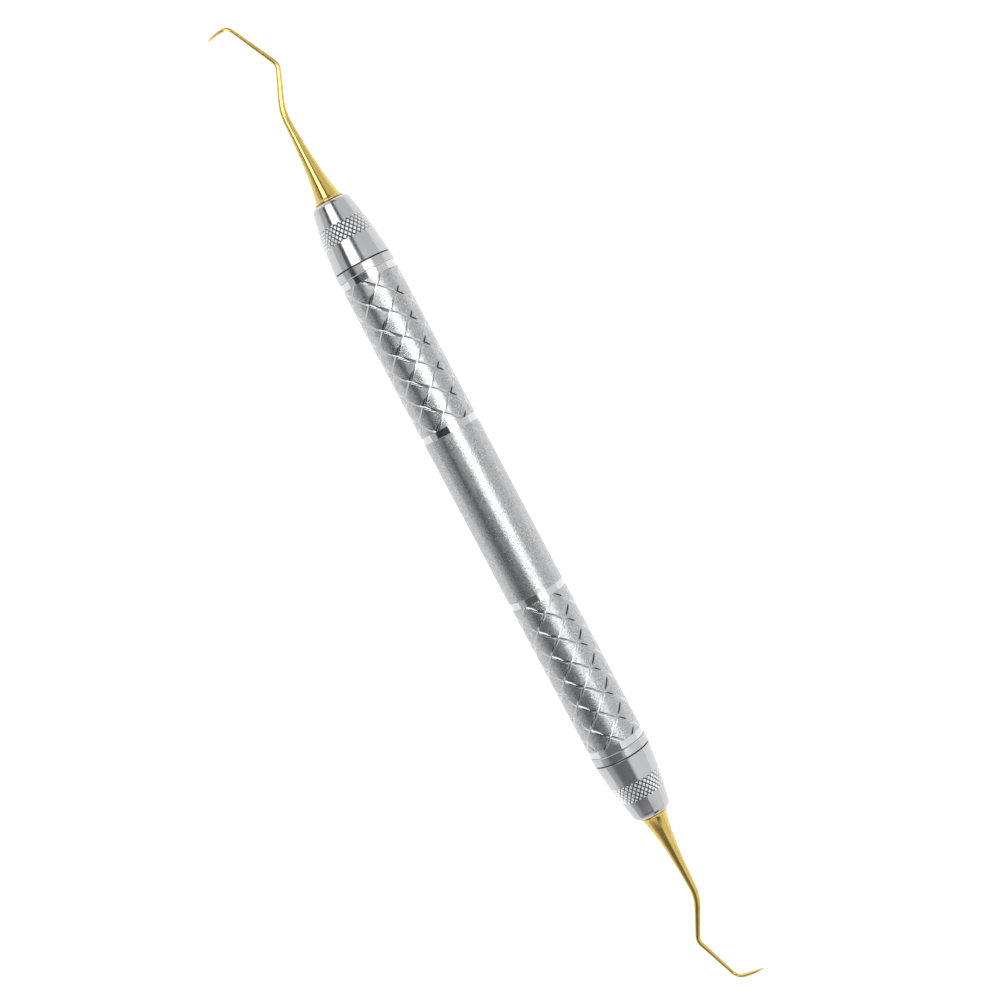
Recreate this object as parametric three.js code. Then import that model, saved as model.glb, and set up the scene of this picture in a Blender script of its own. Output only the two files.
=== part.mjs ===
// A double-ended dental hand scaler: a hollow steel handle with a screw-in cone and tip at each end.
// Millimetres. +X runs along the handle, +Z is up as it lies on its side, and the origin is on the
// handle's axis at mid-length. Both ends are built pointing along +X; the left one is turned round.
import * as THREE from 'three';
import { mergeVertices } from 'three/addons/utils/BufferGeometryUtils.js';

// Handle tube: a plain centre, then a polished neck, a grip and a second neck towards each end.
const HANDLE_RADIUS = 4.75;
const NECK_RADIUS = 4.64;
const TUBE_BORE_RADIUS = 4.05;
const PLAIN_HALF = 14.3;
const INNER_NECK = 1.15;
const GRIP_LENGTH = 25.85;
const OUTER_NECK = 1.2;
const NECK_CHAMFER = 0.12;

// Outline of the cone, from its base to its nose.
const COLLAR_LENGTH = 1.4;
const COLLAR_RADIUS = 4.83;
const WASHER_THICKNESS = 0.2;
const CONE_LENGTH = 10.8;
const CONE_BASE_RADIUS = 4.78;
const CONE_NOSE_RADIUS = 3.28;
const CONE_BELLY = 0.16;
const NOSE_ROUNDING = 0.9;

// Screw joint: an M5 x 0.8 right-hand thread.
const PITCH = 0.8;
const THREAD_DEPTH = 0.37;
const STUD_ROOT_RADIUS = 2.05;
const THREAD_CLEARANCE = 0.12;
const STUD_LENGTH = 7;
const STUD_RELIEF = 0.9;
const PLUG_LENGTH = 9;
const PLUG_RADIUS = 4;
const WASHER_RADIUS = 4.55;
const WASHER_BORE_RADIUS = 2.62;

// Tip: a tang pressed into the cone, a flared shank with three bends, and a curved blade.
const TANG_RADIUS = 1.25;
const TANG_LENGTH = 7;
const TANG_CLEARANCE = 0.1;
const SHANK_THIN_RADIUS = 0.68;
const SHANK_TAPER = 0.0125;
const SHANK_FLARE = 1.57;
const FLARE_LENGTH = 5.6;
const BLADE_LENGTH = 4.7;
const BLADE_RADIUS = 0.36;
const POINT_RADIUS = 0.05;
// Corners of each shank's centreline, then the blade's curve and its point: distance out from the
// cone's nose, and offset from the axis. The two tips are mirror images but for how each is bent home.
const TIP_LINES = {
  left: {
    bends: [
      { out: 15.6, y: 0, z: 0, rounding: 1.8 },
      { out: 22.3, y: -2.87, z: 0.36, rounding: 0.9 },
      { out: 30.6, y: 1.31, z: 0.47, rounding: 1.1 },
    ],
    belly: { out: 30.9, y: 3.5, z: -0.5 },
    point: { out: 30.6, y: 5.42, z: -1.67 },
  },
  right: {
    bends: [
      { out: 15.6, y: 0, z: 0, rounding: 1.8 },
      { out: 22.3, y: -3.32, z: -0.36, rounding: 0.9 },
      { out: 30.6, y: -0.37, z: -0.47, rounding: 1.1 },
    ],
    belly: { out: 30.9, y: 2.1, z: 0.5 },
    point: { out: 30.6, y: 4.15, z: 1.67 },
  },
};

const SIDES = 24;
const TIP_SIDES = 12;
const SHANK_STEP = 0.8;

const gripEnd = PLAIN_HALF + INNER_NECK + GRIP_LENGTH;
const tubeEnd = gripEnd + OUTER_NECK;
const plugFace = tubeEnd + COLLAR_LENGTH;
const coneBase = plugFace + WASHER_THICKNESS;
const coneNose = coneBase + CONE_LENGTH;

// A flat of the turned pieces faces straight down, so that the handle lies still.
const FIRST_CORNER = Math.PI / SIDES;

// Drops the seam's doubled vertices and the triangles that have closed up to nothing.
function welded(geometry) {
  geometry.deleteAttribute('normal');
  geometry.deleteAttribute('uv');
  const merged = mergeVertices(geometry, 1e-5);
  const corners = merged.index.array;
  const kept = [];
  for (let i = 0; i < corners.length; i += 3) {
    const [a, b, c] = [corners[i], corners[i + 1], corners[i + 2]];
    if (a !== b && b !== c && c !== a) kept.push(a, b, c);
  }
  merged.setIndex(kept);
  return merged;
}

// Turns a profile of { x, r, thread } rows about the X axis. A row with a thread climbs one pitch per
// turn, right-handed about +X, and stops at the thread's ends at its end radius.
function turned(rows, closed) {
  const outline = closed ? [...rows, rows[0]] : rows;
  const geometry = new THREE.LatheGeometry(
    outline.map((row) => new THREE.Vector2(row.r, row.x)),
    SIDES,
    FIRST_CORNER,
  );
  const place = geometry.getAttribute('position');
  for (let i = 0; i < place.count; i += 1) {
    const row = outline[i % outline.length];
    if (!row.thread) continue;
    const turn = Math.floor(i / outline.length) / SIDES;
    const angle = FIRST_CORNER + turn * 2 * Math.PI;
    const { from, to, endRadius } = row.thread;
    const climbed = row.x + PITCH * turn;
    const inside = climbed > from + 0.02 && climbed < to - 0.02;
    const r = inside ? row.r : endRadius;
    const x = THREE.MathUtils.clamp(climbed, from, to);
    place.setXYZ(i, r * Math.sin(angle), inside ? x : climbed < (from + to) / 2 ? from : to, r * Math.cos(angle));
  }
  geometry.rotateZ(-Math.PI / 2);
  return welded(geometry);
}

// Rows of a V thread between two stations. Both halves of the joint count their turns from the
// plug's face, so their ridges and grooves line up when the cone is screwed home.
function threadRows(from, to, rootRadius, endRadius) {
  const rows = [];
  const half = PITCH / 2;
  const first = Math.floor((from - plugFace) / half) - 3;
  const last = Math.ceil((to - plugFace) / half) + 1;
  for (let k = first; k <= last; k += 1) {
    const ridge = k % 2 !== 0;
    rows.push({
      x: plugFace + k * half,
      r: rootRadius + (ridge ? THREAD_DEPTH : 0),
      thread: { from, to, endRadius },
    });
  }
  return rows;
}

function mirroredRows(rows) {
  return rows.map(({ x, r }) => ({ x: -x, r })).reverse();
}

function handleTube() {
  const outer = [
    { x: PLAIN_HALF, r: HANDLE_RADIUS },
    { x: PLAIN_HALF + NECK_CHAMFER, r: NECK_RADIUS },
    { x: PLAIN_HALF + INNER_NECK, r: NECK_RADIUS },
    { x: PLAIN_HALF + INNER_NECK, r: HANDLE_RADIUS },
    { x: gripEnd, r: HANDLE_RADIUS },
    { x: gripEnd, r: NECK_RADIUS },
    { x: tubeEnd, r: NECK_RADIUS },
  ];
  const bore = [
    { x: tubeEnd, r: TUBE_BORE_RADIUS },
    { x: -tubeEnd, r: TUBE_BORE_RADIUS },
  ];
  return turned([...mirroredRows(outer), ...outer, ...bore], true);
}

// The bush pressed into the tube's end: its flange is the collar, its bore takes the cone's stud.
function endPlug() {
  const grooveRadius = STUD_ROOT_RADIUS + THREAD_DEPTH + THREAD_CLEARANCE;
  const ridgeRadius = STUD_ROOT_RADIUS + THREAD_CLEARANCE;
  const inner = tubeEnd - PLUG_LENGTH;
  const mouth = plugFace - 0.3;
  const thread = threadRows(inner + 0.6, mouth, ridgeRadius, grooveRadius).reverse();
  return turned([
    { x: inner, r: PLUG_RADIUS },
    { x: tubeEnd, r: PLUG_RADIUS },
    { x: tubeEnd, r: COLLAR_RADIUS - 0.08 },
    { x: tubeEnd + 0.1, r: COLLAR_RADIUS },
    { x: plugFace, r: COLLAR_RADIUS },
    { x: plugFace, r: grooveRadius + 0.3 },
    ...thread,
    { x: inner, r: grooveRadius + 0.2 },
  ], true);
}

function sealWasher() {
  return turned([
    { x: plugFace, r: WASHER_RADIUS },
    { x: coneBase, r: WASHER_RADIUS },
    { x: coneBase, r: WASHER_BORE_RADIUS },
    { x: plugFace, r: WASHER_BORE_RADIUS },
  ], true);
}

// The cone and its stud are one turned piece, with a blind hole in the nose for the tip's tang.
function threadedCone() {
  const studEnd = coneBase - STUD_LENGTH;
  const thread = threadRows(studEnd + 0.3, coneBase - STUD_RELIEF, STUD_ROOT_RADIUS, STUD_ROOT_RADIUS);
  const side = [];
  const steps = 6;
  for (let i = 0; i <= steps; i += 1) {
    const t = i / steps;
    const straight = THREE.MathUtils.lerp(CONE_BASE_RADIUS, CONE_NOSE_RADIUS, t);
    const x = coneBase + t * (CONE_LENGTH - NOSE_ROUNDING);
    side.push({ x, r: straight + CONE_BELLY * 4 * t * (1 - t) });
  }
  const nose = [30, 60, 90].map((degrees) => {
    const a = THREE.MathUtils.degToRad(degrees);
    return {
      x: coneNose - NOSE_ROUNDING * (1 - Math.sin(a)),
      r: CONE_NOSE_RADIUS - NOSE_ROUNDING * (1 - Math.cos(a)),
    };
  });
  return turned([
    { x: studEnd, r: 0 },
    { x: studEnd, r: STUD_ROOT_RADIUS - 0.25 },
    ...thread,
    { x: coneBase, r: STUD_ROOT_RADIUS },
    ...side,
    ...nose,
    { x: coneNose, r: TANG_RADIUS + TANG_CLEARANCE },
    { x: coneNose - TANG_LENGTH - 0.3, r: TANG_RADIUS + TANG_CLEARANCE },
    { x: coneNose - TANG_LENGTH - 0.7, r: 0 },
  ], false);
}

// The centreline: straight runs joined by short curves at the bends, then the curved blade.
function centreline({ bends, belly, point }) {
  const placed = ({ out, y, z }) => new THREE.Vector3(coneNose + out, y, z);
  const line = new THREE.CurvePath();
  const corners = [{ out: 0, y: 0, z: 0 }, ...bends, belly].map(placed);
  let here = corners[0];
  bends.forEach(({ rounding }, i) => {
    const corner = corners[i + 1];
    const before = corner.clone().lerp(here, rounding / corner.distanceTo(here));
    const after = corner.clone().lerp(corners[i + 2], rounding / corner.distanceTo(corners[i + 2]));
    line.add(new THREE.LineCurve3(here, before));
    line.add(new THREE.QuadraticBezierCurve3(before, corner, after));
    here = after;
  });
  line.add(new THREE.QuadraticBezierCurve3(here, corners.at(-1), placed(point)));
  return line;
}

function shankRadius(along, length) {
  const bladeStart = length - BLADE_LENGTH;
  const plain = SHANK_THIN_RADIUS - SHANK_TAPER * along + SHANK_FLARE * Math.exp(-along / FLARE_LENGTH);
  if (along <= bladeStart) return plain;
  const t = (along - bladeStart) / BLADE_LENGTH;
  const belly = THREE.MathUtils.lerp(plain, BLADE_RADIUS, Math.min(1, 3 * t));
  return Math.max(POINT_RADIUS, belly * Math.sqrt(1 - t * t));
}

// The tip is turned straight, then its shank is carried ring by ring onto the bent centreline.
function tip(side) {
  const line = centreline(TIP_LINES[side]);
  line.arcLengthDivisions = 2000;
  const length = line.getLength();
  const steps = Math.round(length / SHANK_STEP);
  const frames = line.computeFrenetFrames(steps, false);
  const outline = [
    new THREE.Vector2(0, -TANG_LENGTH),
    new THREE.Vector2(TANG_RADIUS, -TANG_LENGTH),
    new THREE.Vector2(TANG_RADIUS, 0),
  ];
  const tangRows = outline.length;
  for (let i = 0; i <= steps; i += 1) {
    const along = (i / steps) * length;
    outline.push(new THREE.Vector2(shankRadius(along, length), along));
  }
  outline.push(new THREE.Vector2(0, length));
  const geometry = new THREE.LatheGeometry(outline, TIP_SIDES);
  const place = geometry.getAttribute('position');
  const spot = new THREE.Vector3();
  for (let i = 0; i < place.count; i += 1) {
    const row = i % outline.length;
    const turn = (Math.floor(i / outline.length) / TIP_SIDES) * 2 * Math.PI;
    const step = THREE.MathUtils.clamp(row - tangRows, 0, steps);
    const r = outline[row].x;
    spot.copy(line.getPointAt(step / steps));
    spot.addScaledVector(frames.normals[step], r * Math.cos(turn));
    spot.addScaledVector(frames.binormals[step], r * Math.sin(turn));
    if (row < tangRows) spot.x = coneNose + outline[row].y;
    place.setXYZ(i, spot.x, spot.y, spot.z);
  }
  return welded(geometry);
}

const satinSteel = { color: 0xb4b5b6, roughness: 0.38, metalness: 1 };
const brightSteel = { color: 0xc9cacb, roughness: 0.2, metalness: 1 };
const goldCoating = { color: 0xd0a94f, roughness: 0.24, metalness: 1 };
const blackSilicone = { color: 0x26272a, roughness: 0.7, metalness: 0 };

function named(name, geometry, finish) {
  const mesh = new THREE.Mesh(geometry, new THREE.MeshStandardMaterial(finish));
  mesh.name = name;
  return mesh;
}

const scaler = new THREE.Group();
scaler.add(named('handle_tube', handleTube(), satinSteel));
for (const side of ['left', 'right']) {
  const end = new THREE.Group();
  end.rotation.z = side === 'left' ? Math.PI : 0;
  end.add(named(`${side}_end_plug`, endPlug(), brightSteel));
  end.add(named(`${side}_seal_washer`, sealWasher(), blackSilicone));
  end.add(named(`${side}_cone`, threadedCone(), satinSteel));
  end.add(named(`${side}_tip`, tip(side), goldCoating));
  scaler.add(end);
}

export default scaler;
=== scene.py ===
# %% [markdown]
# # A double-ended dental hand scaler
#
# A hollow steel handle with diamond-cut grips, a knurled cone screwed into each end, and a bent,
# gold-coated tip in each cone. The design's solids are plain; this file makes the surfaces that an eye
# and a hand would find: the cut diamonds, the knurling, the threads, the ground blades and their finishes.
#
# Everything is in metres, in the design's own frame: +X runs along the handle to the right tip, and +Z is
# up as the scaler lies on its side.

import math

import bmesh
import bpy
from mathutils import Matrix, Vector


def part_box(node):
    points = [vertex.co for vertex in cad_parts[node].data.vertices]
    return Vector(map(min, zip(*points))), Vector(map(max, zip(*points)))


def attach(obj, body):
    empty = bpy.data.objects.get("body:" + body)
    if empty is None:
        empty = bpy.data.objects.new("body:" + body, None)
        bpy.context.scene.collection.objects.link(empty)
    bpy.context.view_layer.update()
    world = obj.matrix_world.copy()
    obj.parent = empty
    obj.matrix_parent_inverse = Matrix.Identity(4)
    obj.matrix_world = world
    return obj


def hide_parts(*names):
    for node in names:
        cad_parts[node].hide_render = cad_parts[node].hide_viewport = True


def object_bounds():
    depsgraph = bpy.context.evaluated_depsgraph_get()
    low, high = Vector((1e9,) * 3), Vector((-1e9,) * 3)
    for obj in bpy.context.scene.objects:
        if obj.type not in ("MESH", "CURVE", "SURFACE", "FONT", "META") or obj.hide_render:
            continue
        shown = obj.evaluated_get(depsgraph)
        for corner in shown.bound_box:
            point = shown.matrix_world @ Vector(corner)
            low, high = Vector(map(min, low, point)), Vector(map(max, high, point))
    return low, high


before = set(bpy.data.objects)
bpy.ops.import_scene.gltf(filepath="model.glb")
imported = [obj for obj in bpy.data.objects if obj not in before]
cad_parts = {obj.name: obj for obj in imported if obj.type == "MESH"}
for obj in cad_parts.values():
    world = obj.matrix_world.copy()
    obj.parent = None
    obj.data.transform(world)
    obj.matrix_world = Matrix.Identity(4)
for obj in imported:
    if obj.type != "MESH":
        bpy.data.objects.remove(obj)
cad_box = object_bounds()

# %% [markdown]
# ## Lengths taken from the design
#
# Both ends of the scaler are alike, so each end's pieces are made once, pointing along +X, and the left
# end's are turned half round about Z. The stations along X come from the boxes of the design's nodes.
# The radii that the eye sees are given here, because a box of a faceted solid is slightly too small.

# %% Stations along the axis, and radii
MM = 0.001
TURN = 2 * math.pi
NOTHING = 1e-9
SIDES = ("left", "right")

tube_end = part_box("handle_tube")[1].x
plug_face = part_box("right_end_plug")[1].x
cone_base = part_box("right_seal_washer")[1].x
cone_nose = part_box("right_cone")[1].x
stud_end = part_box("right_cone")[0].x
plug_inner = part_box("right_end_plug")[0].x

HANDLE_RADIUS = 4.75 * MM
NECK_RADIUS = 4.64 * MM
BORE_RADIUS = 4.05 * MM
COLLAR_RADIUS = 4.83 * MM
OUTER_NECK = 1.2 * MM
INNER_NECK = 1.15 * MM
GRIP_LENGTH = 25.85 * MM

grip_end = tube_end - OUTER_NECK
grip_start = grip_end - GRIP_LENGTH
plain_half = grip_start - INNER_NECK
print(f"grip from {grip_start / MM:.2f} to {grip_end / MM:.2f} mm, plain centre to {plain_half / MM:.2f} mm")

# %% [markdown]
# ## Turned pieces
#
# A lathe gives most of this object. The same thing is done here: a thin profile is drawn in the XZ plane
# and spun about the X axis. A profile that starts and ends on the axis, or that closes on itself, gives a
# closed body. Sharp corners catch no light in a render, so they are bevelled afterwards like a deburred
# edge on the real piece.

# %% Spin a profile, and make a piece of a bmesh
FACETS_ROUND = 144
WELD = 0.002 * MM


def spin_profile(bm, profile, steps=FACETS_ROUND, closed=False):
    """Spins (x, radius) points about the X axis, once round."""
    verts = [bm.verts.new((x, 0, r)) for x, r in profile]
    pairs = list(zip(verts, verts[1:]))
    if closed:
        pairs.append((verts[-1], verts[0]))
    edges = [bm.edges.new(pair) for pair in pairs]
    bmesh.ops.spin(bm, geom=verts + edges, cent=(0, 0, 0), axis=(1, 0, 0), dvec=(0, 0, 0),
                   angle=TURN, steps=steps, use_merge=True)
    bmesh.ops.remove_doubles(bm, verts=bm.verts[:], dist=WELD)


def ring_edges(bm, x, radius, reach=0.02 * MM):
    """The edges of the ring that lies at this station and radius."""
    def on_ring(vert):
        return abs(vert.co.x - x) < reach and abs(math.hypot(vert.co.y, vert.co.z) - radius) < reach
    return [edge for edge in bm.edges if all(on_ring(vert) for vert in edge.verts)]


def break_edge(bm, x, radius, size):
    """Takes the sharpness off one ring, as deburring does."""
    bmesh.ops.bevel(bm, geom=ring_edges(bm, x, radius), offset=size, offset_type="OFFSET",
                    segments=3, profile=0.5, affect="EDGES", material=-1)


def finish_piece(bm, name, body, finishes, node, left=False, sharp=35):
    """Turns a left-hand piece round, makes the bmesh an object, and puts it on its body for its node."""
    if left:
        bmesh.ops.rotate(bm, verts=bm.verts[:], cent=(0, 0, 0), matrix=Matrix.Rotation(math.pi, 3, "Z"))
    bmesh.ops.recalc_face_normals(bm, faces=bm.faces[:])
    mesh = bpy.data.meshes.new(name)
    bm.to_mesh(mesh)
    bm.free()
    for face in mesh.polygons:
        face.use_smooth = True
    mesh.set_sharp_from_angle(angle=math.radians(sharp))
    for finish in finishes:
        mesh.materials.append(finish)
    piece = bpy.data.objects.new(name, mesh)
    bpy.context.scene.collection.objects.link(piece)
    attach(piece, body)
    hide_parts(node)
    print(f"{name}: {sum(len(face.vertices) - 2 for face in mesh.polygons)} triangles")

# %% [markdown]
# ## Finishes
#
# Seven finishes cover the object. Steel is a metal, so its colour is the colour of its reflections, and what
# tells one finish from another is how rough it is and what pattern the tool left: tiny dimples from glass
# beads on the handle, fine rings from the lathe on the cones and collars, and almost nothing in the cut
# grooves, which a polished tool leaves bright. The knurled bands have two of their own: their points are
# painted pale as a painted highlight, and their bottoms are painted dark as a painted shade. The tips are
# steel under a few thousandths of a millimetre of titanium nitride, which keeps the polish and turns the
# reflections gold. Only the washers aren't metal.

# %% Colours, and one helper that adds a node
def linear(hex_colour):
    """An sRGB hex colour as the linear RGBA that the shaders use."""
    channels = [int(hex_colour[i:i + 2], 16) / 255 for i in (1, 3, 5)]
    curve = [c / 12.92 if c <= 0.04045 else ((c + 0.055) / 1.055) ** 2.4 for c in channels]
    return (*curve, 1.0)


def add_node(tree, kind, inputs=None, links=None, **settings):
    """Adds a node, sets its settings and input values, and links its inputs to other nodes' outputs."""
    node = tree.nodes.new(kind)
    for name, value in settings.items():
        setattr(node, name, value)
    for name, value in (inputs or {}).items():
        node.inputs[name].default_value = value
    for name, source in (links or {}).items():
        tree.links.new(source, node.inputs[name])
    return node


def new_finish(name, colour, roughness, metallic=1.0):
    """A Principled material, with the texture coordinates that its patterns read."""
    finish = bpy.data.materials.new(name)
    finish.use_nodes = True
    tree = finish.node_tree
    shader = tree.nodes["Principled BSDF"]
    shader.inputs["Base Color"].default_value = linear(colour)
    shader.inputs["Metallic"].default_value = metallic
    shader.inputs["Roughness"].default_value = roughness
    place = add_node(tree, "ShaderNodeTexCoord").outputs["Object"]
    print(f"finish {name}: {colour}, roughness {roughness}")
    return finish, tree, shader, place

# %% [markdown]
# ### Bead-blasted stainless steel
#
# Glass beads of about a tenth of a millimetre leave overlapping dimples. The dimples give the bump and a
# fine grain of lighter and darker metal. A slower noise varies the roughness a little, as handling and
# uneven blasting do.

# %% Blasted steel for the plain centre and the diamonds
# Real dimples are about 0.1 mm across, too fine to show at this size, so these are drawn coarser.
DIMPLE = 0.24 * MM
DIMPLE_DEPTH = 0.024 * MM
BLAST_PATCH = 2.5 * MM

blasted_steel, tree, shader, place = new_finish("blasted_stainless", "#A6A7A9", 0.22)
dimples = add_node(tree, "ShaderNodeTexNoise", {"Scale": 1 / DIMPLE, "Detail": 2.0, "Roughness": 0.6},
                   {"Vector": place})
patches = add_node(tree, "ShaderNodeTexNoise", {"Scale": 1 / BLAST_PATCH, "Detail": 3.0}, {"Vector": place})
grains = add_node(tree, "ShaderNodeMapRange", {"From Min": 0.34, "From Max": 0.66},
                  {"Value": dimples.outputs["Fac"]})
tone = add_node(tree, "ShaderNodeMix", links={"Factor": grains.outputs["Result"]}, data_type="RGBA")
tone.inputs["A"].default_value = linear("#8E8F91")
tone.inputs["B"].default_value = linear("#B5B6B8")
uneven = add_node(tree, "ShaderNodeMapRange", {"To Min": 0.24, "To Max": 0.31},
                  {"Value": patches.outputs["Fac"]})
bump = add_node(tree, "ShaderNodeBump", {"Strength": 1.0, "Distance": DIMPLE_DEPTH},
                {"Height": dimples.outputs["Fac"]})
tree.links.new(tone.outputs["Result"], shader.inputs["Base Color"])
tree.links.new(uneven.outputs["Result"], shader.inputs["Roughness"])
tree.links.new(bump.outputs["Normal"], shader.inputs["Normal"])

# %% [markdown]
# ### Burnished stainless steel
#
# A sharp, polished tool leaves the grooves and the necks almost like a mirror. Where it dragged a little,
# they are slightly less bright.

# %% Burnished steel for grooves and necks
DRAG_MARK = 0.3 * MM

burnished_steel, tree, shader, place = new_finish("burnished_stainless", "#BEBFC1", 0.1)
drag = add_node(tree, "ShaderNodeTexNoise", {"Scale": 1 / DRAG_MARK, "Detail": 2.0}, {"Vector": place})
streak = add_node(tree, "ShaderNodeMapRange", {"To Min": 0.07, "To Max": 0.16},
                  {"Value": drag.outputs["Fac"]})
tree.links.new(streak.outputs["Result"], shader.inputs["Roughness"])

# %% [markdown]
# ### Pressed steel
#
# The knurling tool presses up points of slightly torn metal that scatters the light. Their colour is painted
# paler than the steel beside them, a painted highlight, so that each point shows bright from every side.

# %% Pressed steel for the points of the knurling, painted pale as a highlight
# Real tears are finer than this and wouldn't show at this size.
TEAR = 0.12 * MM
TEAR_DEPTH = 0.006 * MM

# A pale copy of the steel: a painted highlight on the knurled points, so that they look lit from every side.
pressed_steel, tree, shader, place = new_finish("pressed_stainless_painted_highlight", "#DCDDDE", 0.4)
tear = add_node(tree, "ShaderNodeTexNoise", {"Scale": 1 / TEAR, "Detail": 2.0}, {"Vector": place})
torn = add_node(tree, "ShaderNodeMapRange", {"To Min": 0.32, "To Max": 0.5}, {"Value": tear.outputs["Fac"]})
tear_bump = add_node(tree, "ShaderNodeBump", {"Strength": 1.0, "Distance": TEAR_DEPTH},
                     {"Height": tear.outputs["Fac"]})
tree.links.new(torn.outputs["Result"], shader.inputs["Roughness"])
tree.links.new(tear_bump.outputs["Normal"], shader.inputs["Normal"])

# %% [markdown]
# ### The bottoms of the knurling
#
# The bottoms of the knurled band are painted dark, a painted shade for the narrow gaps between the points,
# where shadow falls. The darkness varies in slow patches.

# %% Painted shade for the bottoms of the knurling
SHADE_PATCH = 0.25 * MM

# A dark copy of the steel: painted shade in the bottoms of the knurling. Its darkness varies in slow patches
# between the two colours below.
knurl_root, tree, shader, place = new_finish("knurl_root_painted_shade", "#2E2E30", 0.6)
shade_patches = add_node(tree, "ShaderNodeTexNoise", {"Scale": 1 / SHADE_PATCH, "Detail": 2.0}, {"Vector": place})
thickness = add_node(tree, "ShaderNodeMix", links={"Factor": shade_patches.outputs["Fac"]}, data_type="RGBA")
thickness.inputs["A"].default_value = linear("#1E1E20")
thickness.inputs["B"].default_value = linear("#4A4A4C")
tree.links.new(thickness.outputs["Result"], shader.inputs["Base Color"])

# %% [markdown]
# ### Satin turned steel
#
# The cones and collars keep the lathe's fine rings. The rings depend only on the station along the axis,
# so the pattern reads a coordinate that is squeezed flat across it.

# %% Satin steel for the cones and collars
LATHE_RING = 0.07 * MM
RING_DEPTH = 0.0012 * MM
SQUEEZE = 0.02

satin_steel, tree, shader, place = new_finish("satin_turned_stainless", "#AEAFB1", 0.2)
along = add_node(tree, "ShaderNodeMapping", {"Scale": (1.0, SQUEEZE, SQUEEZE)}, {"Vector": place})
rings = add_node(tree, "ShaderNodeTexNoise", {"Scale": 1 / LATHE_RING, "Detail": 2.0},
                 {"Vector": along.outputs["Vector"]})
ring_sheen = add_node(tree, "ShaderNodeMapRange", {"To Min": 0.14, "To Max": 0.24},
                      {"Value": rings.outputs["Fac"]})
ring_bump = add_node(tree, "ShaderNodeBump", {"Strength": 1.0, "Distance": RING_DEPTH},
                     {"Height": rings.outputs["Fac"]})
tree.links.new(ring_sheen.outputs["Result"], shader.inputs["Roughness"])
tree.links.new(ring_bump.outputs["Normal"], shader.inputs["Normal"])

# %% [markdown]
# ### Titanium nitride
#
# A hard gold ceramic, laid down in a vacuum chamber on the polished tips. It follows the polish below it,
# and its tint drifts a little with its thickness.

# %% Nitride gold for the tips
TINT_DRIFT = 1.5 * MM

nitride_gold, tree, shader, place = new_finish("titanium_nitride_gold", "#C3A861", 0.16)
cloud = add_node(tree, "ShaderNodeTexNoise", {"Scale": 1 / TINT_DRIFT, "Detail": 3.0}, {"Vector": place})
tint = add_node(tree, "ShaderNodeMix", links={"Factor": cloud.outputs["Fac"]}, data_type="RGBA")
tint.inputs["A"].default_value = linear("#BA9E54")
tint.inputs["B"].default_value = linear("#CCB26C")
polish = add_node(tree, "ShaderNodeMapRange", {"To Min": 0.12, "To Max": 0.22},
                  {"Value": cloud.outputs["Fac"]})
tree.links.new(tint.outputs["Result"], shader.inputs["Base Color"])
tree.links.new(polish.outputs["Result"], shader.inputs["Roughness"])

# %% [markdown]
# ### Black silicone
#
# The seal washers show only as a fine dark line, with the dull face of moulded silicone.

# %% Silicone for the washers
MOULD_GRAIN = 0.08 * MM
GRAIN_DEPTH = 0.004 * MM

black_silicone, tree, shader, place = new_finish("black_silicone", "#1D1E20", 0.62, metallic=0.0)
grain = add_node(tree, "ShaderNodeTexNoise", {"Scale": 1 / MOULD_GRAIN}, {"Vector": place})
matt = add_node(tree, "ShaderNodeBump", {"Strength": 0.5, "Distance": GRAIN_DEPTH},
                {"Height": grain.outputs["Fac"]})
tree.links.new(matt.outputs["Normal"], shader.inputs["Normal"])

# %% [markdown]
# ## Carrying an edge on along the lathe
#
# Most pieces here begin as a patterned sleeve, such as a knurled band or a thread, with an open rim at each
# end. The plain surfaces beside it are extruded from that rim, station by station, so that pattern and
# plain metal are one skin, as they are when both are cut from one bar.

# %% Carry an open rim through stations, and find the rims
def carry(bm, rim, stations, finish=0):
    """Extrudes a rim through (x, radius) stations, each point keeping its angle about the axis."""
    for x, radius in stations:
        grown = bmesh.ops.extrude_edge_only(bm, edges=rim)["geom"]
        moved = {part for part in grown if isinstance(part, bmesh.types.BMVert)}
        for part in grown:
            if isinstance(part, bmesh.types.BMFace):
                part.material_index = finish
        for vert in moved:
            across = Vector((0, vert.co.y, vert.co.z)).normalized() * radius
            vert.co = (x, across.y, across.z)
        rim = [edge for edge in bm.edges if edge.verts[0] in moved and edge.verts[1] in moved]
    return rim


def open_rim(bm, x):
    """The open edges that lie at this station."""
    def here(vert):
        return abs(vert.co.x - x) < 0.005 * MM
    return [edge for edge in bm.edges if edge.is_boundary and all(here(vert) for vert in edge.verts)]


def trim(bm, start, stop):
    """Cuts a sleeve square at two stations and drops what is outside them."""
    for x, outward in ((start, -1), (stop, 1)):
        everything = bm.verts[:] + bm.edges[:] + bm.faces[:]
        bmesh.ops.bisect_plane(bm, geom=everything, plane_co=(x, 0, 0), plane_no=(outward, 0, 0),
                               clear_outer=True)


def close_poles(bm):
    """Merges each rim that was carried in to the axis into one point."""
    bmesh.ops.remove_doubles(bm, verts=bm.verts[:], dist=0.001 * MM)

# %% [markdown]
# ## Diamonds
#
# Cutting right-hand and left-hand helical grooves across each other leaves diamonds. Rather than cut
# grooves into a tube, one diamond is made flat, with half a groove sloping down on each of its sides. It is
# copied over the plain, then the plain is rolled up round the axis. Every edge then follows a groove, so
# the grooves stay crisp. The same steps give the grips' large cut diamonds and the cones' fine knurling.

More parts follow.
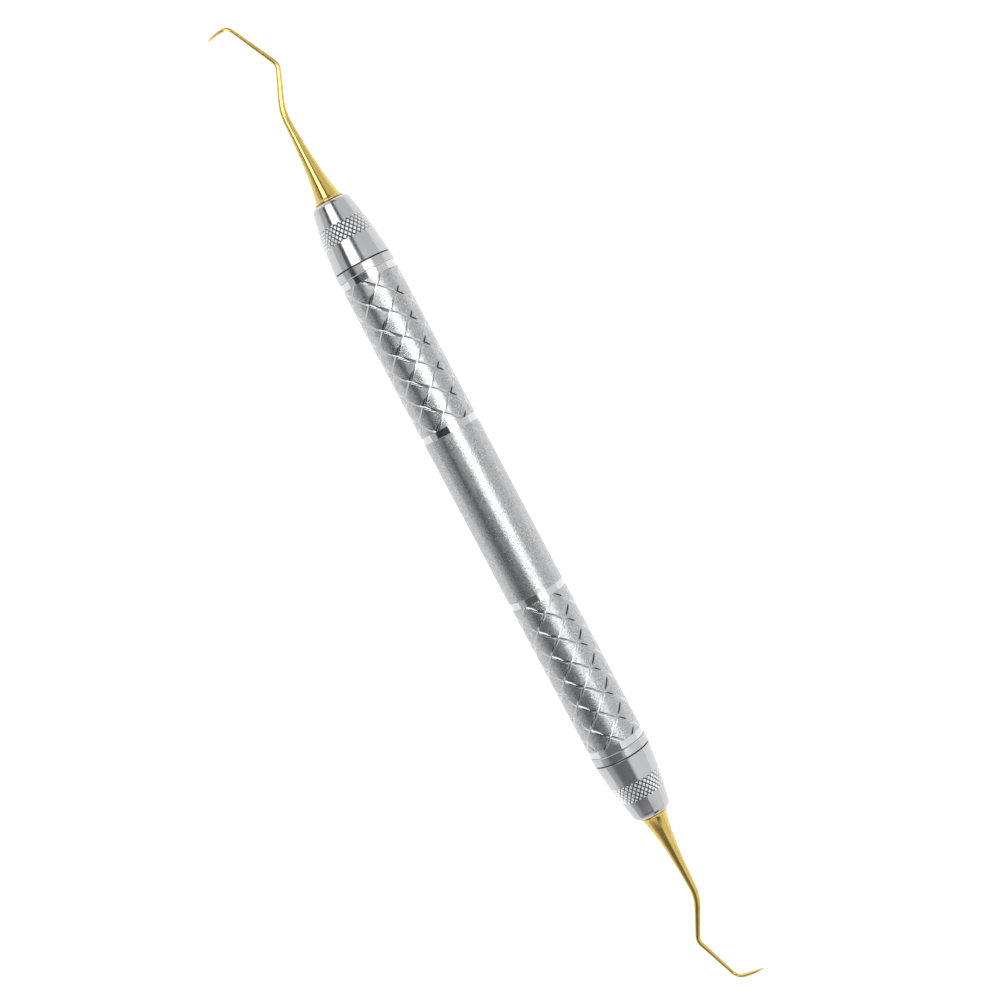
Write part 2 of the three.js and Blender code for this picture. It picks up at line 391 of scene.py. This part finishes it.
# %% One diamond, a sheet of them, and a sheet rolled up
def cut_diamond(bm, half_long, half_wide, depth, strips, cuts, land_finish, groove_finish):
    """A diamond lying flat: x along the piece, y round it, z its height. Its rim is the groove's bottom."""
    rim = [(half_long, 0), (0, half_wide), (-half_long, 0), (0, -half_wide)]
    land = bm.faces.new([bm.verts.new((x, y, -depth)) for x, y in rim])
    land.normal_update()
    for width, below in strips:
        bmesh.ops.inset_individual(bm, faces=[land], thickness=width, use_even_offset=True)
        for vert in land.verts:
            vert.co.z = -below
    for face in bm.faces:
        face.material_index = groove_finish
    land.material_index = land_finish
    if cuts:
        level = [edge for edge in bm.edges if abs(edge.verts[0].co.z - edge.verts[1].co.z) < NOTHING]
        bmesh.ops.subdivide_edges(bm, edges=level, cuts=cuts, use_grid_fill=True)


def lay_sheet(bm, first, columns, rows, half_long, half_wide):
    """Copies the diamond at the origin over a plain of staggered rows, from the first centre on."""
    pattern = bm.verts[:] + bm.edges[:] + bm.faces[:]
    for row in range(rows):
        for column in range(columns):
            copy = bmesh.ops.duplicate(bm, geom=pattern)["geom"]
            verts = [part for part in copy if isinstance(part, bmesh.types.BMVert)]
            x = first[0] + (2 * column + row % 2) * half_long
            bmesh.ops.translate(bm, verts=verts, vec=(x, first[1] + row * half_wide, 0))
    bmesh.ops.delete(bm, geom=[part for part in pattern if isinstance(part, bmesh.types.BMVert)],
                     context="VERTS")


def roll_up(bm, radius_at, flat_radius):
    """Rolls a flat sheet about the X axis: y becomes the way round, z the height above the surface."""
    for vert in bm.verts:
        x, y, z = vert.co
        radius = radius_at(x) + z
        vert.co = (x, radius * math.sin(y / flat_radius), radius * math.cos(y / flat_radius))
    bmesh.ops.remove_doubles(bm, verts=bm.verts[:], dist=WELD)

# %% [markdown]
# ## The handle tube
#
# Six grooves each way leave twelve staggered rows of diamonds, 4.44 mm from point to point. The cutter is a
# blunt V, so each groove is half a millimetre wide, with a narrow bottom, two straight flanks and a fine
# eased edge. The grooves and the necks are cut last, after blasting, and stay bright, so they get the
# burnished finish.

# %% The diamond-cut grip
CUTS_EACH_WAY = 6
DIAMOND_LENGTH = 4.44 * MM
FIRST_CROSSING = 1.51 * MM
FIRST_CROSSING_ANGLE = math.radians(-4.2)
GROOVE_DEPTH = 0.185 * MM
# From the bottom of the groove outwards: the width of each strip, and how far below the land it ends.
GROOVE_STRIPS = [(0.04 * MM, 0.17 * MM), (0.19 * MM, 0.006 * MM), (0.03 * MM, 0.0)]
# Cuts along each side of a diamond, so that it bends smoothly round the handle.
LAND_CUTS = 7
BLASTED, BURNISHED = 0, 1


def make_grip(bm):
    """An open sleeve of cut diamonds, at the end that points along +X."""
    half_long = DIAMOND_LENGTH / 2
    half_wide = math.pi * HANDLE_RADIUS / CUTS_EACH_WAY
    cut_diamond(bm, half_long, half_wide, GROOVE_DEPTH, GROOVE_STRIPS, LAND_CUTS, BLASTED, BURNISHED)
    columns = math.ceil(GRIP_LENGTH / DIAMOND_LENGTH) + 2
    last_centre = grip_end - FIRST_CROSSING + half_long
    first = (last_centre - (columns - 1) * DIAMOND_LENGTH, FIRST_CROSSING_ANGLE * HANDLE_RADIUS)
    lay_sheet(bm, first, columns, 2 * CUTS_EACH_WAY, half_long, half_wide)
    roll_up(bm, lambda x: HANDLE_RADIUS, HANDLE_RADIUS)
    trim(bm, grip_start, grip_end)


bm = bmesh.new()
make_grip(bm)
print(f"diamonds {TURN * HANDLE_RADIUS / CUTS_EACH_WAY / MM:.2f} mm wide, rims of"
      f" {len(open_rim(bm, grip_start))} and {len(open_rim(bm, grip_end))} edges")

# %% Both grips, the necks, the plain centre and the bore
EASE = 0.05 * MM
# Faces that meet past this many degrees keep a crisp edge, so that the flanks stay flat to the eye.
CRISP_GROOVES = 11

copy = bmesh.ops.duplicate(bm, geom=bm.verts[:] + bm.edges[:] + bm.faces[:])["geom"]
bmesh.ops.rotate(bm, verts=[part for part in copy if isinstance(part, bmesh.types.BMVert)],
                 cent=(0, 0, 0), matrix=Matrix.Rotation(math.pi, 3, "Z"))
bores, shoulders = [], []
for way in (-1, 1):
    neck = [(way * grip_start, NECK_RADIUS), (way * plain_half, NECK_RADIUS)]
    rim = carry(bm, open_rim(bm, way * grip_start), neck, BURNISHED)
    shoulder = [(way * plain_half, HANDLE_RADIUS - EASE), (way * (plain_half - EASE), HANDLE_RADIUS)]
    shoulders += carry(bm, rim, shoulder, BLASTED)
    neck = [(way * grip_end, NECK_RADIUS), (way * (tube_end - EASE), NECK_RADIUS),
            (way * tube_end, NECK_RADIUS - EASE), (way * tube_end, BORE_RADIUS)]
    bores += carry(bm, open_rim(bm, way * grip_end), neck, BURNISHED)
bmesh.ops.bridge_loops(bm, edges=shoulders)
bmesh.ops.bridge_loops(bm, edges=bores)
finish_piece(bm, "diamond_grip_tube", "handle", [blasted_steel, burnished_steel],
             node="handle_tube", sharp=CRISP_GROOVES)

# %% [markdown]
# ## Threads
#
# The cone's stud is M5 with a pitch of 0.8 mm, right-handed. One tooth's outline, spun about the axis while
# it advances one pitch per turn, sweeps the whole thread. Neighbouring turns meet edge to edge and are
# merged. The plug's thread is the same sweep with 0.12 mm more radius, so the two stay clear of each other
# all the way out.

# %% Sweep a thread
PITCH = 0.8 * MM
THREAD_DEPTH = 0.37 * MM
STUD_ROOT = 2.05 * MM
CLEARANCE = 0.12 * MM
THREAD_STEPS = 64
# Half a facet of the design's solids, by which their threads start round from straight up.
THREAD_LEAD = PITCH / 48
# Along one pitch: how far on, and how much of the depth.
TOOTH = [(0, 0), (0.07, 0), (0.44, 1), (0.56, 1), (0.93, 0), (1, 0)]


def sweep_thread(bm, start, stop, root):
    """An open ridged sleeve between two stations, in step with the design's threads."""
    behind = math.ceil((plug_face - start) / PITCH) + 1
    x0 = plug_face - behind * PITCH - THREAD_LEAD
    turns = math.ceil((stop - x0) / PITCH) + 1
    verts = [bm.verts.new((x0 + on * PITCH, 0, root + up * THREAD_DEPTH)) for on, up in TOOTH]
    edges = [bm.edges.new(pair) for pair in zip(verts, verts[1:])]
    bmesh.ops.spin(bm, geom=verts + edges, cent=(0, 0, 0), axis=(1, 0, 0),
                   dvec=(PITCH / THREAD_STEPS, 0, 0), angle=TURN * turns, steps=THREAD_STEPS * turns)
    bmesh.ops.remove_doubles(bm, verts=bm.verts[:], dist=WELD)
    trim(bm, start, stop)

# %% [markdown]
# ## End plugs
#
# Each end of the tube is closed by a turned bush. Only its flange shows: the plain collar next to the
# joint. With the cone unscrewed, its threaded socket shows too.

# %% The end plugs
PLUG_RADIUS = 4.0 * MM
SOCKET_GROOVE = STUD_ROOT + THREAD_DEPTH + CLEARANCE
SOCKET_MOUTH = 0.3 * MM
SOCKET_RELIEF = 0.6 * MM
COLLAR_EASE = 0.1 * MM


def make_plug(side):
    """The bush pressed into one end of the tube."""
    bm = bmesh.new()
    inner, mouth = plug_inner + SOCKET_RELIEF, plug_face - SOCKET_MOUTH
    sweep_thread(bm, inner, mouth, STUD_ROOT + CLEARANCE)
    back = open_rim(bm, inner)
    outside = [
        (mouth, SOCKET_GROOVE), (plug_face, SOCKET_GROOVE + SOCKET_MOUTH),
        (plug_face, COLLAR_RADIUS - COLLAR_EASE / 2), (plug_face - COLLAR_EASE / 2, COLLAR_RADIUS),
        (tube_end + COLLAR_EASE, COLLAR_RADIUS), (tube_end, COLLAR_RADIUS - COLLAR_EASE),
        (tube_end, PLUG_RADIUS), (plug_inner, PLUG_RADIUS), (plug_inner, SOCKET_GROOVE + CLEARANCE),
        (inner, SOCKET_GROOVE + CLEARANCE),
    ]
    front = carry(bm, open_rim(bm, mouth), outside)
    bmesh.ops.bridge_loops(bm, edges=front + back)
    bmesh.ops.dissolve_degenerate(bm, edges=bm.edges[:], dist=0.0005 * MM)
    finish_piece(bm, f"{side}_collar_bush", "handle", [satin_steel],
                 node=f"{side}_end_plug", left=side == "left")


for side in SIDES:
    make_plug(side)

# %% [markdown]
# ## Seal washers
#
# A thin silicone ring, set back a little from the collar's rim. From outside it is the fine dark line
# between collar and cone.

# %% The seal washers
WASHER_RADIUS = 4.55 * MM
WASHER_BORE = 2.62 * MM


def make_washer(side):
    """The ring between one collar and its cone."""
    bm = bmesh.new()
    ring = [(plug_face, WASHER_BORE), (plug_face, WASHER_RADIUS), (cone_base, WASHER_RADIUS),
            (cone_base, WASHER_BORE)]
    spin_profile(bm, ring, closed=True)
    for x in (plug_face, cone_base):
        break_edge(bm, x, WASHER_RADIUS, EASE)
    finish_piece(bm, f"{side}_silicone_ring", f"{side}_washer", [black_silicone],
                 node=f"{side}_seal_washer", left=side == "left")


for side in SIDES:
    make_washer(side)

# %% [markdown]
# ## Cones
#
# A cone is turned from bar with a slight belly, and a knurling tool then presses a band of fine diamonds
# into it. The tool pushes the metal up as well as in, so the points stand a little proud. The piece starts
# from the band: its outer rim is carried to the nose and down the tang's hole, its inner rim to the base,
# where it meets the stud.

# %% The cone's outline and its knurled band
CONE_LENGTH = 10.8 * MM
BASE_RADIUS = 4.78 * MM
NOSE_RADIUS = 3.28 * MM
BELLY = 0.16 * MM
NOSE_ROUNDING = 0.9 * MM
BAND_START = cone_base + 4.1 * MM
BAND_END = cone_base + 7.05 * MM
KNURLS_ROUND = 31
KNURL_LENGTH = 0.98 * MM
KNURL_DEPTH = 0.24 * MM
KNURL_PROUD = 0.05 * MM
# From the bottom upwards, as for the grooves, so that each point is domed.
KNURL_STRIPS = [(0.06 * MM, 0.21 * MM), (0.05 * MM, 0.1 * MM), (0.05 * MM, 0.03 * MM), (0.05 * MM, 0.0)]
SATIN, POINTS, ROOTS = 0, 1, 2


def cone_radius(x):
    """The radius of the cone's plain side at a station."""
    t = (x - cone_base) / (CONE_LENGTH - NOSE_ROUNDING)
    return BASE_RADIUS + (NOSE_RADIUS - BASE_RADIUS) * t + BELLY * 4 * t * (1 - t)


def make_knurling(bm):
    """An open sleeve of fine diamonds between the band's two stations."""
    flat_radius = cone_radius((BAND_START + BAND_END) / 2)
    half_long, half_wide = KNURL_LENGTH / 2, math.pi * flat_radius / KNURLS_ROUND
    cut_diamond(bm, half_long, half_wide, KNURL_DEPTH, KNURL_STRIPS, 0, POINTS, POINTS)
    # The faces at the very bottom take the roots' finish, which is painted dark as shade.
    for face in bm.faces:
        if min(vert.co.z for vert in face.verts) < -KNURL_DEPTH + NOTHING:
            face.material_index = ROOTS
    columns = math.ceil((BAND_END - BAND_START) / KNURL_LENGTH) + 2
    lay_sheet(bm, (BAND_START - KNURL_LENGTH, 0), columns, 2 * KNURLS_ROUND, half_long, half_wide)
    roll_up(bm, lambda x: cone_radius(x) + KNURL_PROUD, flat_radius)
    trim(bm, BAND_START, BAND_END)


band_middle = cone_radius((BAND_START + BAND_END) / 2)
print(f"knurled band {(BAND_END - BAND_START) / MM:.2f} mm wide, points"
      f" {TURN * band_middle / KNURLS_ROUND / MM:.2f} mm apart round it")

# %% The cones with their studs
TANG_HOLE = 1.35 * MM
TANG_LENGTH = 7.0 * MM
HOLE_SPARE = 0.3 * MM
DRILL_POINT = 0.4 * MM
STUD_SHOULDER = 3 * MM
STUD_RELIEF = 0.9 * MM
STUD_CHAMFER = 0.3 * MM
SIDE_STEPS = 6
ROUNDING_STEP = 15


def side_stations(start, stop):
    """Stations along the cone's side, from one to the other."""
    xs = [start + (stop - start) * i / SIDE_STEPS for i in range(SIDE_STEPS + 1)]
    return [(x, cone_radius(x)) for x in xs]


def make_cone(side):
    """One cone, its knurled band and its threaded stud."""
    bm = bmesh.new()
    make_knurling(bm)
    round_from = cone_nose - NOSE_ROUNDING
    rounding = []
    for degrees in range(ROUNDING_STEP, 91, ROUNDING_STEP):
        angle = math.radians(degrees)
        rounding.append((round_from + NOSE_ROUNDING * math.sin(angle),
                         NOSE_RADIUS - NOSE_ROUNDING * (1 - math.cos(angle))))
    hole_end = cone_nose - TANG_LENGTH - HOLE_SPARE
    hole = [(cone_nose, TANG_HOLE), (hole_end, TANG_HOLE), (hole_end - DRILL_POINT, 0)]
    carry(bm, open_rim(bm, BAND_END), side_stations(BAND_END, round_from) + rounding + hole, SATIN)
    base = [(cone_base + EASE, BASE_RADIUS), (cone_base, BASE_RADIUS - EASE),
            (cone_base, STUD_SHOULDER)]
    towards_base = side_stations(BAND_START, cone_base + 2 * EASE)
    face = carry(bm, open_rim(bm, BAND_START), towards_base + base, SATIN)

    stud = bmesh.new()
    thread_start, thread_stop = stud_end + STUD_CHAMFER, cone_base - STUD_RELIEF
    sweep_thread(stud, thread_start, thread_stop, STUD_ROOT)
    end = [(thread_start, STUD_ROOT), (stud_end, STUD_ROOT - STUD_CHAMFER), (stud_end, 0)]
    carry(stud, open_rim(stud, thread_start), end)
    carry(stud, open_rim(stud, thread_stop), [(thread_stop, STUD_ROOT), (cone_base, STUD_ROOT)])
    stud_mesh = bpy.data.meshes.new("stud")
    stud.to_mesh(stud_mesh)
    stud.free()
    bm.from_mesh(stud_mesh)
    bpy.data.meshes.remove(stud_mesh)
    bmesh.ops.bridge_loops(bm, edges=open_rim(bm, cone_base))
    close_poles(bm)
    finish_piece(bm, f"{side}_knurled_cone", f"{side}_end",
                 [satin_steel, pressed_steel, knurl_root], node=f"{side}_cone", left=side == "left")


for side in SIDES:
    make_cone(side)

# %% [markdown]
# ## Tips
#
# A tip is turned and ground straight from one rod, and only then bent. It is made here in that order: a
# profile is spun, the blade's end is ground flat on one side by pressing the points above the flat down to
# it, and then each ring is carried onto the bent centreline. The centreline is straight runs with short
# curves at three bends, and the curve of the blade. The two tips serve the two sides of a tooth, so they
# are nearly mirror images of each other, but they are bent by hand and each is bent slightly its own way.

# %% The bends, and the bent centreline
# All in millimetres, for an end that points along +X. For each corner: its distance out from the nose, its
# y and z, and how far round it the bend goes.
BENDS = {
    "left": [((15.6, 0, 0), 1.8), ((22.3, -2.87, 0.36), 0.9), ((30.6, 1.31, 0.47), 1.1)],
    "right": [((15.6, 0, 0), 1.8), ((22.3, -3.32, -0.36), 0.9), ((30.6, -0.37, -0.47), 1.1)],
}
# The blade leaves the last bend towards its belly, and curves round to its point.
BLADE_BELLY = {"left": (30.9, 3.5, -0.5), "right": (30.9, 2.1, 0.5)}
POINT = {"left": (30.6, 5.42, -1.67), "right": (30.6, 4.15, 1.67)}
CURVE_STEPS = 24


def placed(spot):
    """A spot on a tip, in the frame of an end that points along +X."""
    return Vector((cone_nose, 0, 0)) + Vector(spot) * MM


def curve_points(a, b, c):
    """Points along the curve that leaves a towards b and arrives at c from b."""
    ts = [i / CURVE_STEPS for i in range(1, CURVE_STEPS + 1)]
    return [a * (1 - t) ** 2 + b * 2 * t * (1 - t) + c * t ** 2 for t in ts]


def centreline(side):
    """Close points along the centreline, and how far along it each one is."""
    bends = BENDS[side]
    corners = [placed(spot) for spot in ((0, 0, 0), *(spot for spot, _ in bends), BLADE_BELLY[side])]
    points = [corners[0]]
    for corner, after, (_, rounding) in zip(corners[1:], corners[2:], bends):
        start = corner + (points[-1] - corner).normalized() * rounding * MM
        stop = corner + (after - corner).normalized() * rounding * MM
        points += [start, *curve_points(start, corner, stop)]
    points += curve_points(points[-1], corners[-1], placed(POINT[side]))
    along = [0.0]
    for a, b in zip(points, points[1:]):
        along.append(along[-1] + (b - a).length)
    return points, along


def point_at(line, distance):
    """The point this far along the centreline."""
    points, along = line
    for i in range(1, len(points)):
        if distance <= along[i] or i == len(points) - 1:
            t = (distance - along[i - 1]) / (along[i] - along[i - 1])
            return points[i - 1].lerp(points[i], t)


tip_length = {side: centreline(side)[1][-1] for side in BENDS}
print("centrelines", {side: round(length / MM, 1) for side, length in tip_length.items()}, "mm long")

# %% The tip's outline while it is straight
SHANK_THIN = 0.68 * MM
SHANK_TAPER = 0.0125
SHANK_FLARE = 1.57 * MM
FLARE_LENGTH = 5.6 * MM
BLADE_LENGTH = 4.7 * MM
TANG_RADIUS = 1.25 * MM
BEAD_RADIUS = 0.2 * MM
BEAD_SINK = 0.02 * MM
BEAD_GAP = 0.12 * MM
POINT_ROUND = 0.03 * MM
TIP_FACETS = 32
RING_SPACING = 0.2 * MM


def shank_radius(along):
    """The radius of the straight shank, this far from the nose."""
    return SHANK_THIN - SHANK_TAPER * along + SHANK_FLARE * math.exp(-along / FLARE_LENGTH)


def tip_profile(length):
    """Tang, bead and shank, as stations along X. The shank runs on to the point, to be ground there."""
    tang = [(cone_nose - TANG_LENGTH, 0), (cone_nose - TANG_LENGTH, TANG_RADIUS - EASE),
            (cone_nose - TANG_LENGTH + EASE, TANG_RADIUS), (cone_nose, TANG_RADIUS)]
    centre = (cone_nose + BEAD_RADIUS, shank_radius(0) - BEAD_SINK)
    bead = []
    for degrees in range(180, -1, -20):
        angle = math.radians(degrees)
        bead.append((centre[0] + BEAD_RADIUS * math.cos(angle), centre[1] + BEAD_RADIUS * math.sin(angle)))
    first = 2 * BEAD_RADIUS + BEAD_GAP
    rings = round((length - first) / RING_SPACING)
    alongs = [first + (length - first) * i / rings for i in range(rings + 1)]
    shank = [(cone_nose + along, shank_radius(along)) for along in alongs]
    return tang + bead + shank + [(cone_nose + length + POINT_ROUND, 0)]


print(f"shank {2 * shank_radius(0) / MM:.1f} mm across at the nose and"
      f" {2 * shank_radius(tip_length['left'] - BLADE_LENGTH) / MM:.1f} mm where the blade starts")

# %% Grind the blade, then bend the tip
BLADE_HALF_WIDTH = 0.45 * MM
BLADE_FACE = 0.14 * MM
BLADE_BACK = 0.46 * MM
GRIND_RUN_IN = 1.6 * MM
# The blade's width falls off as (1 - t ** fullness) ** closing, down to this share of it at the point.
LEAF_FULLNESS = 2.4
LEAF_CLOSING = 0.75
POINT_SHARE = 0.07
# Faces that meet past this many degrees are a cutting edge.
BLADE_EDGES = 40


def grind(along, blade_start, y, z):
    """Where a point of the round rod ends up on the ground blade: flat above, rounded below."""
    t = (along - blade_start) / BLADE_LENGTH
    mix = min(max((along - blade_start + GRIND_RUN_IN / 2) / GRIND_RUN_IN, 0), 1)
    mix = mix * mix * (3 - 2 * mix)
    t = min(max(t, 0), 1)
    leaf = max((1 - t ** LEAF_FULLNESS) ** LEAF_CLOSING, POINT_SHARE)
    radius = math.hypot(y, z)
    if radius < NOTHING:
        return y, z
    across, rise = y / radius, z / radius
    face = BLADE_FACE * leaf
    ground_y = BLADE_HALF_WIDTH * leaf * across
    ground_z = face if rise > 0 else face + (BLADE_FACE + BLADE_BACK) * leaf * rise
    return y + (ground_y - y) * mix, z + (ground_z - z) * mix


def bent_frames(line, alongs):
    """For each distance: the point, and the directions across and up. Up faces the handle at the blade."""
    step = 0.05 * MM
    length = line[1][-1]
    frames, up, before = [], Vector((0, 0, 1)), Vector((1, 0, 0))
    for along in alongs:
        ahead = point_at(line, min(along + step, length)) - point_at(line, max(along - step, 0))
        ahead.normalize()
        up = before.rotation_difference(ahead) @ up
        before = ahead
        frames.append((point_at(line, along), ahead, up))
    _, ahead, up = min(zip(frames, alongs), key=lambda pair: abs(pair[1] - length + BLADE_LENGTH))[0]
    inward = Vector((-1, 0, 0)) - ahead * ahead.dot(Vector((-1, 0, 0)))
    turn = up.angle(inward) * (1 if up.cross(inward).dot(ahead) > 0 else -1)
    turned = []
    for place, ahead, up in frames:
        up = Matrix.Rotation(turn, 3, ahead) @ up
        turned.append((place, up.cross(ahead), up))
    return turned


def make_tip(side):
    """One tip: tang, bead, bent shank and ground blade."""
    bm = bmesh.new()
    line = centreline(side)
    length = line[1][-1]
    spin_profile(bm, tip_profile(length), steps=TIP_FACETS)
    alongs = sorted({round(vert.co.x - cone_nose, 8) for vert in bm.verts if vert.co.x > cone_nose})
    frames = dict(zip(alongs, bent_frames(line, [min(along, length) for along in alongs])))
    for vert in bm.verts:
        along = round(vert.co.x - cone_nose, 8)
        if along in frames:
            y, z = grind(along, length - BLADE_LENGTH, vert.co.y, vert.co.z)
            place, across, up = frames[along]
            overrun = max(along - length, 0)
            vert.co = place + across * y + up * z + up.cross(across) * overrun
    finish_piece(bm, f"{side}_gold_tip", f"{side}_end", [nitride_gold],
                 node=f"{side}_tip", left=side == "left", sharp=BLADE_EDGES)


for side in SIDES:
    make_tip(side)

# %% [markdown]
# ## Floor, light and camera
#
# Polished metal shows what surrounds it, so the studio matters as much as the finishes. The scaler lies on
# a white table in a light tent. Overhead is a long bright panel, beside it a dark slot where the camera
# looks in, and the tent's walls are light grey. The tent is the world's own shader: the direction's angle
# over the handle, from one side of it to the other, picks the brightness.
#
# That is the middle of the tent, which the handle mirrors. The cones slope, so they mirror the parts beyond
# it, where the panel and the slot lie elsewhere: brighter to the left, dimmer to the right. The grooves'
# steep flanks mirror what is further out still, grey cloth with one dark gap.

# %% A white table
TABLE_HALF = 0.6
TABLE_GAP = 0.02 * MM
TABLE_GLOW = 0.35

bm = bmesh.new()
bmesh.ops.create_grid(bm, x_segments=2, y_segments=2, size=TABLE_HALF)
bmesh.ops.translate(bm, verts=bm.verts[:], vec=(0, 0, cad_box[0][2] - TABLE_GAP))
table_mesh = bpy.data.meshes.new("table")
bm.to_mesh(table_mesh)
bm.free()
table = bpy.data.objects.new("table", table_mesh)
bpy.context.scene.collection.objects.link(table)

white_laminate, tree, shader, place = new_finish("white_laminate", "#F7F7F7", 0.55, metallic=0.0)
shader.inputs["Emission Color"].default_value = (1, 1, 1, 1)
shader.inputs["Emission Strength"].default_value = TABLE_GLOW
table_mesh.materials.append(white_laminate)
print("table at", round((cad_box[0][2] - TABLE_GAP) / MM, 2), "mm")

# %% The light tent
def tent_ramp(tree, angle, stops):
    """Brightness by the angle over the handle: 0.5 is straight up, 0 and 1 are level, -Y and +Y."""
    ramp = add_node(tree, "ShaderNodeValToRGB", links={"Fac": angle})
    ramp.color_ramp.interpolation = "LINEAR"
    elements = ramp.color_ramp.elements
    while len(elements) < len(stops):
        elements.new(1.0)
    for element, (degrees, bright) in zip(elements, stops):
        element.position = 0.5 + degrees / 180
        element.color = (bright, bright, bright, 1)
    return ramp.outputs["Color"]


TENT_STRENGTH = 5.0
PANEL = 1.0
# How bright it is at each angle, in degrees from straight up: negative is towards -Y, positive towards +Y.
MIDDLE = [(-90, 0.15), (-64, 0.15), (-58, 0.01), (-4, 0.01), (2, PANEL), (31, PANEL), (37, 0.2),
          (90, 0.21)]
LEFT_END = [(-90, 0.18), (-60, 0.18), (-56, 0.01), (-39, 0.01), (-36, PANEL), (-4, PANEL), (-1, 0.01),
            (14, 0.01), (18, 0.21), (90, 0.21)]
RIGHT_END = [(-90, 0.16), (-66, 0.13), (-52, 0.055), (8, 0.055), (13, 0.26), (90, 0.24)]
FAR = [(-90, 0.2), (0, 0.22), (9, 0.01), (42, 0.01), (52, 0.22), (90, 0.2)]
# How far a direction leans along X where the ends take over from the middle, and the far parts from them.
ENDS_FROM, ENDS_FULL = 0.1, 0.16
FAR_FROM, FAR_FULL = 0.62, 0.68

world = bpy.data.worlds.new("light_tent")
bpy.context.scene.world = world
world.use_nodes = True
tree = world.node_tree
background = tree.nodes["Background"]
direction = add_node(tree, "ShaderNodeTexCoord").outputs["Generated"]
parts = add_node(tree, "ShaderNodeSeparateXYZ", links={"Vector": direction}).outputs
angle = add_node(tree, "ShaderNodeMath", operation="ARCTAN2")
tree.links.new(parts["Y"], angle.inputs[0])
tree.links.new(parts["Z"], angle.inputs[1])
share = add_node(tree, "ShaderNodeMapRange", {"From Min": -math.pi / 2, "From Max": math.pi / 2},
                 {"Value": angle.outputs["Value"]}).outputs["Result"]
middle = tent_ramp(tree, share, MIDDLE)
left_end = tent_ramp(tree, share, LEFT_END)
right_end = tent_ramp(tree, share, RIGHT_END)
to_right = add_node(tree, "ShaderNodeMapRange", {"From Min": ENDS_FROM, "From Max": ENDS_FULL},
                    {"Value": parts["X"]})
to_left = add_node(tree, "ShaderNodeMapRange", {"From Min": -ENDS_FROM, "From Max": -ENDS_FULL},
                   {"Value": parts["X"]})
with_right = add_node(tree, "ShaderNodeMix", links={"Factor": to_right.outputs["Result"]}, data_type="RGBA")
tree.links.new(middle, with_right.inputs["A"])
tree.links.new(right_end, with_right.inputs["B"])
with_ends = add_node(tree, "ShaderNodeMix", links={"Factor": to_left.outputs["Result"]}, data_type="RGBA")
tree.links.new(with_right.outputs["Result"], with_ends.inputs["A"])
tree.links.new(left_end, with_ends.inputs["B"])
sideways = add_node(tree, "ShaderNodeMath", operation="ABSOLUTE")
tree.links.new(parts["X"], sideways.inputs[0])
to_far = add_node(tree, "ShaderNodeMapRange", {"From Min": FAR_FROM, "From Max": FAR_FULL},
                  {"Value": sideways.outputs["Value"]})
whole_tent = add_node(tree, "ShaderNodeMix", links={"Factor": to_far.outputs["Result"]}, data_type="RGBA")
tree.links.new(with_ends.outputs["Result"], whole_tent.inputs["A"])
tree.links.new(tent_ramp(tree, share, FAR), whole_tent.inputs["B"])
tree.links.new(whole_tent.outputs["Result"], background.inputs["Color"])
background.inputs["Strength"].default_value = TENT_STRENGTH
print("light tent of strength", TENT_STRENGTH, "in", len(tree.nodes), "nodes")

# %% The camera, nearly straight above and a little towards the left end
CAMERA_DISTANCE = 290 * MM
CAMERA_TILT = math.radians(4.31)
LENS = 65.88
AIM = Vector((-1.10, 1.735, 0)) * MM
# The camera is turned so that its right-hand side lies this way over the table, and the handle runs
# steeply down across the view.
RIGHT_HAND = Vector((0.4685, 0.8834, 0))

away = Vector((-math.sin(CAMERA_TILT), 0, math.cos(CAMERA_TILT)))
right = (RIGHT_HAND - away * RIGHT_HAND.dot(away)).normalized()
axes = Matrix((right, away.cross(right), away)).transposed()
camera_data = bpy.data.cameras.new("camera")
camera_data.lens = LENS
camera_data.clip_start = 0.01
camera = bpy.data.objects.new("camera", camera_data)
camera.matrix_world = Matrix.Translation(AIM + away * CAMERA_DISTANCE) @ axes.to_4x4()
bpy.context.scene.collection.objects.link(camera)
bpy.context.scene.camera = camera
bpy.context.scene.view_settings.view_transform = "Standard"
print("camera at", [round(c / MM, 1) for c in camera.location])
